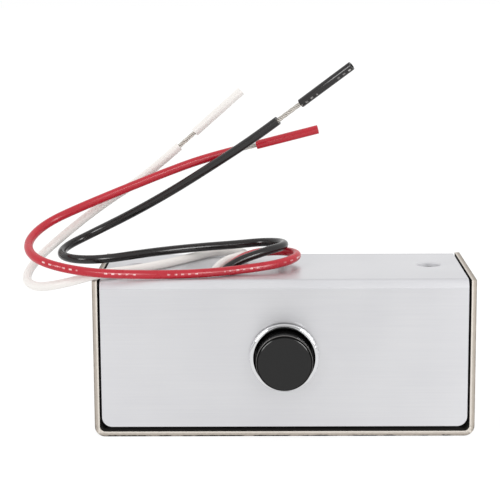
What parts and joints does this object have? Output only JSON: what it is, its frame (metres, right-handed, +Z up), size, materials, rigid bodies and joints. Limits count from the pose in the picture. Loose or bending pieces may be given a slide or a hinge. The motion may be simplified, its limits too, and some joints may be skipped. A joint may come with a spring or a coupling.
{
  "type": "momentary push button switch",
  "caption": "Momentary push button switch: black button in a chrome bezel on the front of a folded sheet-metal box, with colour-coded leads out of a hole in its top.",
  "frame": {"origin": "middle of the underside of the box", "axes": "+Z up, the button faces -Y, X runs along the box"},
  "size_m": [0.093, 0.0376, 0.0745],
  "materials": {
    "sheared_steel": "stainless steel sheet, satin, with sheared edges",
    "satin_steel": "stainless steel sheet, satin brushed along its length",
    "chrome_plate": "bright chrome plating on brass",
    "zinc_plate": "bright zinc-plated steel",
    "black_button": "black moulded plastic, satin gloss",
    "pale_nylon": "natural nylon",
    "black_phenolic": "black moulded phenolic",
    "contact_brass": "rolled brass strip",
    "spring_wire": "drawn spring wire",
    "solder": "cooled solder",
    "red_insulation": "extruded wire insulation, red",
    "black_insulation": "extruded wire insulation, black",
    "white_insulation": "extruded wire insulation, white",
    "tinned_copper": "tinned copper strands"
  },
  "bodies": {
    "housing": {"base_channel": "sheared_steel", "cover": "satin_steel", "bezel_bushing": "chrome_plate", "lock_washer": "zinc_plate", "hex_nut": "zinc_plate", "return_spring": "spring_wire", "switch_body": "black_phenolic", "terminal_base": "black_phenolic", "terminal_common": "contact_brass", "terminal_normally_closed": "contact_brass", "terminal_normally_open": "contact_brass", "cover_screw_left_lower": "zinc_plate", "cover_screw_left_upper": "zinc_plate", "cover_screw_right_lower": "zinc_plate", "cover_screw_right_upper": "zinc_plate", "red_lead": "red_insulation", "red_bare_wire": "tinned_copper", "red_tip_sleeve": "red_insulation", "solder_joint_red": "solder", "black_lead": "black_insulation", "black_bare_wire": "tinned_copper", "black_tip_sleeve": "black_insulation", "solder_joint_black": "solder", "white_lead": "white_insulation", "white_bare_wire": "tinned_copper", "white_tip_sleeve": "white_insulation", "solder_joint_white": "solder"},
    "button": {"button_cap": "black_button", "plunger": "pale_nylon", "contact_disc": "contact_brass"}
  },
  "joints": [
    {"name": "button_press", "type": "slide", "parent": "housing", "child": "button", "axis": [0, 1, 0], "range_m": [0, 0.002], "stiffness_N_per_m": 800, "springref_m": -0.002, "deforming": ["return_spring"]}
  ]
}
